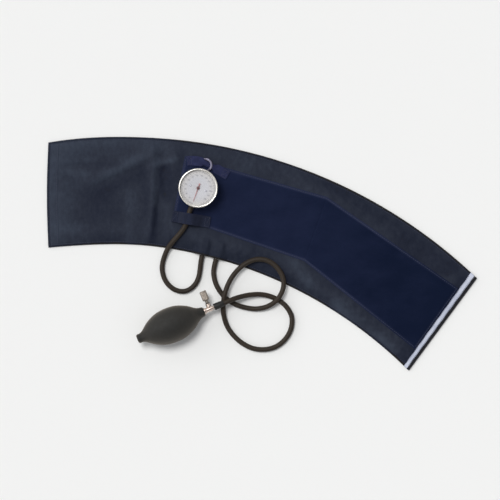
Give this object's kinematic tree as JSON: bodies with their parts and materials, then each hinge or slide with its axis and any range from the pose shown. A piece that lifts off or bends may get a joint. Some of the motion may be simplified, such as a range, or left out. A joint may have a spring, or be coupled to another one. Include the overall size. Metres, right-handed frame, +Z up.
{
  "type": "sphygmomanometer",
  "caption": "Curved blood pressure cuff lying flat, with a round dial gauge hooked on a strap, two rubber tubes and a hand bulb with a release valve.",
  "frame": {"origin": "on the table under the middle of the cuff", "axes": "+X along the cuff towards its striped end, +Y across it towards the outer curve, +Z up from the table"},
  "size_m": [0.5808, 0.3156, 0.0479],
  "materials": {
    "nylon": "woven coated nylon, dull",
    "hook_tape": "hook fastener tape",
    "loop_pile": "napped loop pile",
    "white_tape": "woven tape, light",
    "webbing": "woven webbing",
    "black_rubber": "smooth moulded rubber",
    "tube_rubber": "smooth extruded rubber",
    "plated_metal": "bright plating",
    "clear_lens": "clear",
    "dial_paint": "white enamel",
    "pointer_paint": "dark red-brown paint",
    "brass": "machined",
    "steel": "turned",
    "knurled_steel": "knurled, dull plated",
    "nickel": "nickel plated, satin"
  },
  "bodies": {
    "cuff_set": {"cuff_outer_shell": "nylon", "cuff_inner_shell": "nylon", "end_hem": "nylon", "hook_panel": "hook_tape", "loop_panel": "loop_pile", "index_stripe": "white_tape", "gauge_strap_upper": "webbing", "gauge_strap_lower": "webbing", "bladder": "black_rubber", "gauge_tube": "tube_rubber", "bulb_tube": "tube_rubber", "tube_sleeve": "black_rubber", "gauge_case": "plated_metal", "gauge_bezel": "plated_metal", "gauge_hook": "plated_metal", "gauge_lens": "clear_lens", "lens_gasket": "black_rubber", "dial_plate": "dial_paint", "hairspring": "steel", "hairspring_stud": "brass", "capsule": "brass", "inlet_block": "brass", "inlet_stem": "nickel", "lower_plate": "brass", "upper_plate": "brass", "base_post_1": "brass", "base_post_2": "brass", "base_post_3": "brass", "movement_pillar_1": "brass", "movement_pillar_2": "brass", "movement_pillar_3": "brass", "plate_screw_1": "steel", "plate_screw_2": "steel", "plate_screw_3": "steel", "dial_screw_1": "steel", "dial_screw_2": "steel", "hook_rivet_1": "steel", "hook_rivet_2": "steel", "bulb": "black_rubber", "intake_body": "nickel", "intake_screen": "steel", "release_valve_body": "nickel", "disc_retainer": "steel"},
    "sector": {"sector_gear": "brass"},
    "pointer_shaft": {"pointer": "pointer_paint", "pointer_arbor": "brass"},
    "rocker": {"rocking_shaft": "steel"},
    "pin": {"push_pin": "steel"},
    "intake_ball": {"intake_ball": "steel"},
    "outlet_disc": {"outlet_disc": "black_rubber"},
    "screw_seal": {"release_o_ring": "black_rubber"},
    "screw": {"release_screw": "knurled_steel"}
  },
  "joints": [
    {"name": "sector_swing", "type": "hinge", "parent": "cuff_set", "child": "sector", "pos_m": [-0.1002, 0.0482, 0.0307], "axis": [0, 0, 1], "range_deg": [0, 33]},
    {"name": "pointer_spin", "type": "hinge", "parent": "cuff_set", "child": "pointer_shaft", "pos_m": [-0.0903, 0.0364, 0.0377], "axis": [0, 0, -1], "range_deg": [0, 330.01]},
    {"name": "rocker_swing", "type": "hinge", "parent": "cuff_set", "child": "rocker", "pos_m": [-0.09329, 0.04281, 0.025], "axis": [-0.9397, 0.342, 0], "range_deg": [0, 15.85]},
    {"name": "pin_lift", "type": "slide", "parent": "cuff_set", "child": "pin", "axis": [0, 0, 1], "range_m": [0, 0.0013], "deforming": ["capsule"]},
    {"name": "intake_ball_lift", "type": "slide", "parent": "cuff_set", "child": "intake_ball", "axis": [0.9198, 0.3867, -0.0663], "range_m": [0, 0.0008]},
    {"name": "outlet_disc_lift", "type": "slide", "parent": "cuff_set", "child": "outlet_disc", "axis": [0.9198, 0.3867, -0.0663], "range_m": [0, 0.0006]},
    {"name": "release_travel", "type": "slide", "parent": "cuff_set", "child": "screw_seal", "axis": [-0.3875, 0.9219, 0], "range_m": [0, 0.00105]},
    {"name": "release_turn", "type": "hinge", "parent": "screw_seal", "child": "screw", "pos_m": [-0.08224, -0.10833, 0.02021], "axis": [-0.3875, 0.9219, 0], "range_deg": [0, 540.1]}
  ],
  "couplings": [
    {"joint": "pointer_spin", "follows": "sector_swing", "ratio": 10},
    {"joint": "rocker_swing", "follows": "sector_swing", "ratio": 0.48},
    {"joint": "pin_lift", "follows": "sector_swing", "m_per_rad": 0.0022571},
    {"joint": "release_turn", "follows": "release_travel", "rad_per_m": 8976}
  ]
}
